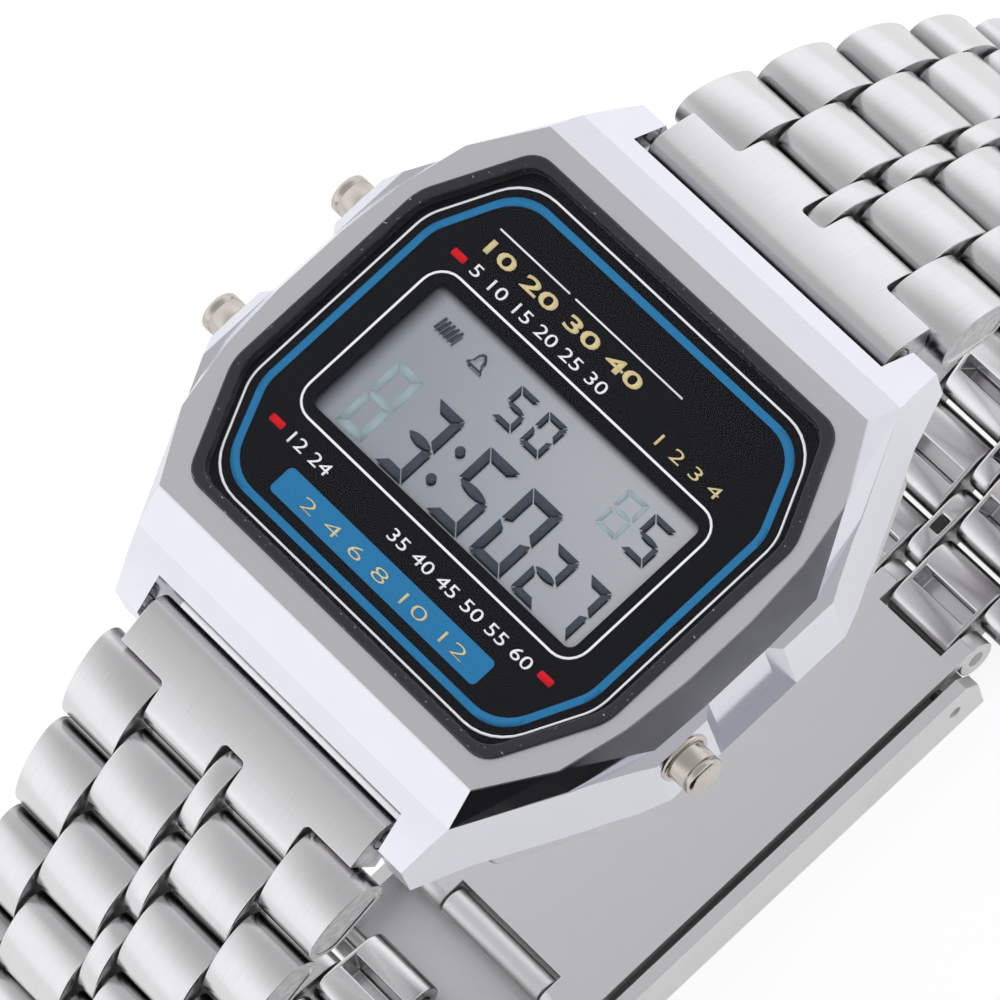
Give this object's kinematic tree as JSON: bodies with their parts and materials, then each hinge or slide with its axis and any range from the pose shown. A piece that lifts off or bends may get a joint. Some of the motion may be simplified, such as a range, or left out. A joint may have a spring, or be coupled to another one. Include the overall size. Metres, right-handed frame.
{
  "type": "digital wristwatch",
  "caption": "Digital wristwatch with an octagonal plated case, push buttons and a grey display, on a five-column steel link bracelet closed by a folding clasp.",
  "frame": {"origin": "middle of the footprint, on the surface that the clasp rests on", "axes": "+X towards three o'clock, +Y towards twelve o'clock, +Z out of the dial"},
  "size_m": [0.037, 0.0824, 0.0523],
  "materials": {
    "case_metal": "satin plated case",
    "face_glass": "clear crystal",
    "gasket": "dark grey gasket",
    "dial": "printed black dial with blue and white lines",
    "display": "grey liquid crystal glass",
    "light_guide": "clear light guide",
    "lamp": "small lamp",
    "contact_rubber": "striped contact rubber",
    "module_plastic": "dark moulded frame",
    "board": "green circuit board",
    "chips": "black parts",
    "contact_metal": "thin gold coloured sheet",
    "cell_steel": "coin cell",
    "back_steel": "brushed steel back",
    "screw_steel": "turned steel",
    "button_metal": "warm bright nickel",
    "seal_rubber": "black rubber",
    "spring_steel": "drawn wire and pins",
    "bracelet_steel": "brushed steel with bright edges",
    "clasp_steel": "brushed steel sheet"
  },
  "bodies": {
    "case": {"case_body": "case_metal", "crystal": "face_glass", "crystal_gasket": "gasket", "dial_print": "dial", "lcd_glass": "display", "light_guide": "light_guide", "light_lamp": "lamp", "contact_strips": "contact_rubber", "module_frame": "module_plastic", "circuit_board": "board", "circuit_parts": "chips", "switch_contacts": "contact_metal", "coin_cell": "cell_steel", "cell_strap": "spring_steel", "buzzer_disc": "contact_metal", "buzzer_spring": "contact_metal", "back_gasket": "seal_rubber", "case_back": "back_steel", "back_screws": "screw_steel", "button_springs": "spring_steel", "button_seals": "seal_rubber", "spring_bars": "screw_steel"},
    "light_button": {"light_button": "button_metal", "light_clip": "spring_steel"},
    "mode_button": {"mode_button": "button_metal", "mode_clip": "spring_steel"},
    "start_button": {"start_button": "button_metal", "start_clip": "spring_steel"},
    "end_piece_12": {"end_piece_12": "bracelet_steel"},
    "links_12_1": {"links_12_1": "bracelet_steel"},
    "links_12_2": {"links_12_2": "bracelet_steel"},
    "links_12_3": {"links_12_3": "bracelet_steel"},
    "links_12_4": {"links_12_4": "bracelet_steel"},
    "links_12_5": {"links_12_5": "bracelet_steel"},
    "links_12_6": {"links_12_6": "bracelet_steel"},
    "links_12_7": {"links_12_7": "bracelet_steel"},
    "links_12_8": {"links_12_8": "bracelet_steel"},
    "links_12_9": {"links_12_9": "bracelet_steel"},
    "links_12_10": {"links_12_10": "bracelet_steel"},
    "links_12_11": {"links_12_11": "bracelet_steel"},
    "links_12_12": {"links_12_12": "bracelet_steel"},
    "end_piece_6": {"end_piece_6": "bracelet_steel"},
    "links_6_1": {"links_6_1": "bracelet_steel"},
    "links_6_2": {"links_6_2": "bracelet_steel"},
    "links_6_3": {"links_6_3": "bracelet_steel"},
    "links_6_4": {"links_6_4": "bracelet_steel"},
    "links_6_5": {"links_6_5": "bracelet_steel"},
    "links_6_6": {"links_6_6": "bracelet_steel"},
    "links_6_7": {"links_6_7": "bracelet_steel"},
    "links_6_8": {"links_6_8": "bracelet_steel"},
    "links_6_9": {"links_6_9": "bracelet_steel"},
    "links_6_10": {"links_6_10": "bracelet_steel"},
    "links_6_11": {"links_6_11": "bracelet_steel"},
    "links_6_12": {"links_6_12": "bracelet_steel"},
    "inner_blade": {"inner_blade": "clasp_steel", "blade_pins": "screw_steel"},
    "outer_blade": {"outer_blade": "clasp_steel"},
    "clasp_cover": {"clasp_cover": "clasp_steel", "cover_pin": "screw_steel", "clasp_bar": "screw_steel"}
  },
  "joints": [
    {"name": "bracelet_12_open", "type": "hinge", "parent": "case", "child": "end_piece_12", "pos_m": [0, 0.0176, 0.04768], "axis": [1, 0, 0], "range_deg": [0, 28]},
    {"name": "hinge_12_1", "type": "hinge", "parent": "end_piece_12", "child": "links_12_1", "pos_m": [0, 0.0206, 0.04609], "axis": [1, 0, 0], "range_deg": [0, 2]},
    {"name": "hinge_12_2", "type": "hinge", "parent": "links_12_1", "child": "links_12_2", "pos_m": [0, 0.02532, 0.04336], "axis": [1, 0, 0], "range_deg": [0, 6]},
    {"name": "hinge_12_3", "type": "hinge", "parent": "links_12_2", "child": "links_12_3", "pos_m": [0, 0.02973, 0.04016], "axis": [1, 0, 0], "range_deg": [0, 8]},
    {"name": "hinge_12_4", "type": "hinge", "parent": "links_12_3", "child": "links_12_4", "pos_m": [0, 0.03365, 0.03637], "axis": [1, 0, 0], "range_deg": [0, 11]},
    {"name": "hinge_12_5", "type": "hinge", "parent": "links_12_4", "child": "links_12_5", "pos_m": [0, 0.03678, 0.03191], "axis": [1, 0, 0], "range_deg": [0, 11]},
    {"name": "hinge_12_6", "type": "hinge", "parent": "links_12_5", "child": "links_12_6", "pos_m": [0, 0.03899, 0.02693], "axis": [1, 0, 0], "range_deg": [0, 15]},
    {"name": "hinge_12_7", "type": "hinge", "parent": "links_12_6", "child": "links_12_7", "pos_m": [0, 0.03985, 0.02155], "axis": [1, 0, 0], "range_deg": [0, 17]},
    {"name": "hinge_12_8", "type": "hinge", "parent": "links_12_7", "child": "links_12_8", "pos_m": [0, 0.03909, 0.01615], "axis": [1, 0, 0], "range_deg": [0, 18]},
    {"name": "hinge_12_9", "type": "hinge", "parent": "links_12_8", "child": "links_12_9", "pos_m": [0, 0.0367, 0.01125], "axis": [1, 0, 0], "range_deg": [0, 17]},
    {"name": "hinge_12_10", "type": "hinge", "parent": "links_12_9", "child": "links_12_10", "pos_m": [0, 0.03298, 0.00726], "axis": [1, 0, 0], "range_deg": [0, 16]},
    {"name": "hinge_12_11", "type": "hinge", "parent": "links_12_10", "child": "links_12_11", "pos_m": [0, 0.02831, 0.00446], "axis": [1, 0, 0], "range_deg": [0, 14]},
    {"name": "hinge_12_12", "type": "hinge", "parent": "links_12_11", "child": "links_12_12", "pos_m": [0, 0.0231, 0.00286], "axis": [1, 0, 0], "range_deg": [0, 10]},
    {"name": "bracelet_6_open", "type": "hinge", "parent": "case", "child": "end_piece_6", "pos_m": [0, -0.0176, 0.04768], "axis": [-1, 0, 0], "range_deg": [0, 28]},
    {"name": "hinge_6_1", "type": "hinge", "parent": "end_piece_6", "child": "links_6_1", "pos_m": [0, -0.0206, 0.04609], "axis": [-1, 0, 0], "range_deg": [0, 2]},
    {"name": "hinge_6_2", "type": "hinge", "parent": "links_6_1", "child": "links_6_2", "pos_m": [0, -0.02532, 0.04336], "axis": [-1, 0, 0], "range_deg": [0, 6]},
    {"name": "hinge_6_3", "type": "hinge", "parent": "links_6_2", "child": "links_6_3", "pos_m": [0, -0.02973, 0.04016], "axis": [-1, 0, 0], "range_deg": [0, 8]},
    {"name": "hinge_6_4", "type": "hinge", "parent": "links_6_3", "child": "links_6_4", "pos_m": [0, -0.03365, 0.03637], "axis": [-1, 0, 0], "range_deg": [0, 11]},
    {"name": "hinge_6_5", "type": "hinge", "parent": "links_6_4", "child": "links_6_5", "pos_m": [0, -0.03678, 0.03191], "axis": [-1, 0, 0], "range_deg": [0, 11]},
    {"name": "hinge_6_6", "type": "hinge", "parent": "links_6_5", "child": "links_6_6", "pos_m": [0, -0.03899, 0.02693], "axis": [-1, 0, 0], "range_deg": [0, 15]},
    {"name": "hinge_6_7", "type": "hinge", "parent": "links_6_6", "child": "links_6_7", "pos_m": [0, -0.03985, 0.02155], "axis": [-1, 0, 0], "range_deg": [0, 17]},
    {"name": "hinge_6_8", "type": "hinge", "parent": "links_6_7", "child": "links_6_8", "pos_m": [0, -0.03909, 0.01615], "axis": [-1, 0, 0], "range_deg": [0, 18]},
    {"name": "hinge_6_9", "type": "hinge", "parent": "links_6_8", "child": "links_6_9", "pos_m": [0, -0.0367, 0.01125], "axis": [-1, 0, 0], "range_deg": [0, 17]},
    {"name": "hinge_6_10", "type": "hinge", "parent": "links_6_9", "child": "links_6_10", "pos_m": [0, -0.03298, 0.00726], "axis": [-1, 0, 0], "range_deg": [0, 16]},
    {"name": "hinge_6_11", "type": "hinge", "parent": "links_6_10", "child": "links_6_11", "pos_m": [0, -0.02831, 0.00446], "axis": [-1, 0, 0], "range_deg": [0, 14]},
    {"name": "hinge_6_12", "type": "hinge", "parent": "links_6_11", "child": "links_6_12", "pos_m": [0, -0.0231, 0.00286], "axis": [-1, 0, 0], "range_deg": [0, 10]},
    {"name": "clasp_pivot", "type": "hinge", "parent": "links_12_12", "child": "inner_blade", "pos_m": [0, 0.01769, 0.0022], "axis": [1, 0, 0], "range_deg": [0, 7]},
    {"name": "clasp_fold", "type": "hinge", "parent": "inner_blade", "child": "outer_blade", "pos_m": [0, -0.01239, 0.0026], "axis": [-1, 0, 0], "range_deg": [0, 150]},
    {"name": "cover_fold", "type": "hinge", "parent": "outer_blade", "child": "clasp_cover", "pos_m": [0, 0.01479, 0.00185], "axis": [1, 0, 0], "range_deg": [0, 150]},
    {"name": "light_press", "type": "slide", "parent": "case", "child": "light_button", "axis": [1, 0, 0], "range_m": [0, 0.0007], "stiffness_N_per_m": 1500, "springref_m": -0.0004},
    {"name": "mode_press", "type": "slide", "parent": "case", "child": "mode_button", "axis": [1, 0, 0], "range_m": [0, 0.0007], "stiffness_N_per_m": 1500, "springref_m": -0.0004},
    {"name": "start_press", "type": "slide", "parent": "case", "child": "start_button", "axis": [-1, 0, 0], "range_m": [0, 0.0007], "stiffness_N_per_m": 1500, "springref_m": -0.0004}
  ],
  "couplings": [
    {"joint": "hinge_12_1", "follows": "bracelet_12_open", "ratio": 0.071429},
    {"joint": "hinge_12_2", "follows": "bracelet_12_open", "ratio": 0.21429},
    {"joint": "hinge_12_3", "follows": "bracelet_12_open", "ratio": 0.28571},
    {"joint": "hinge_12_4", "follows": "bracelet_12_open", "ratio": 0.39286},
    {"joint": "hinge_12_5", "follows": "bracelet_12_open", "ratio": 0.39286},
    {"joint": "hinge_12_6", "follows": "bracelet_12_open", "ratio": 0.53571},
    {"joint": "hinge_12_7", "follows": "bracelet_12_open", "ratio": 0.60714},
    {"joint": "hinge_12_8", "follows": "bracelet_12_open", "ratio": 0.64286},
    {"joint": "hinge_12_9", "follows": "bracelet_12_open", "ratio": 0.60714},
    {"joint": "hinge_12_10", "follows": "bracelet_12_open", "ratio": 0.57143},
    {"joint": "hinge_12_11", "follows": "bracelet_12_open", "ratio": 0.5},
    {"joint": "hinge_12_12", "follows": "bracelet_12_open", "ratio": 0.35714},
    {"joint": "hinge_6_1", "follows": "bracelet_6_open", "ratio": 0.071429},
    {"joint": "hinge_6_2", "follows": "bracelet_6_open", "ratio": 0.21429},
    {"joint": "hinge_6_3", "follows": "bracelet_6_open", "ratio": 0.28571},
    {"joint": "hinge_6_4", "follows": "bracelet_6_open", "ratio": 0.39286},
    {"joint": "hinge_6_5", "follows": "bracelet_6_open", "ratio": 0.39286},
    {"joint": "hinge_6_6", "follows": "bracelet_6_open", "ratio": 0.53571},
    {"joint": "hinge_6_7", "follows": "bracelet_6_open", "ratio": 0.60714},
    {"joint": "hinge_6_8", "follows": "bracelet_6_open", "ratio": 0.64286},
    {"joint": "hinge_6_9", "follows": "bracelet_6_open", "ratio": 0.60714},
    {"joint": "hinge_6_10", "follows": "bracelet_6_open", "ratio": 0.57143},
    {"joint": "hinge_6_11", "follows": "bracelet_6_open", "ratio": 0.5},
    {"joint": "hinge_6_12", "follows": "bracelet_6_open", "ratio": 0.35714},
    {"joint": "clasp_pivot", "follows": "bracelet_12_open", "ratio": 0.25},
    {"joint": "cover_fold", "follows": "clasp_fold", "ratio": 1}
  ]
}
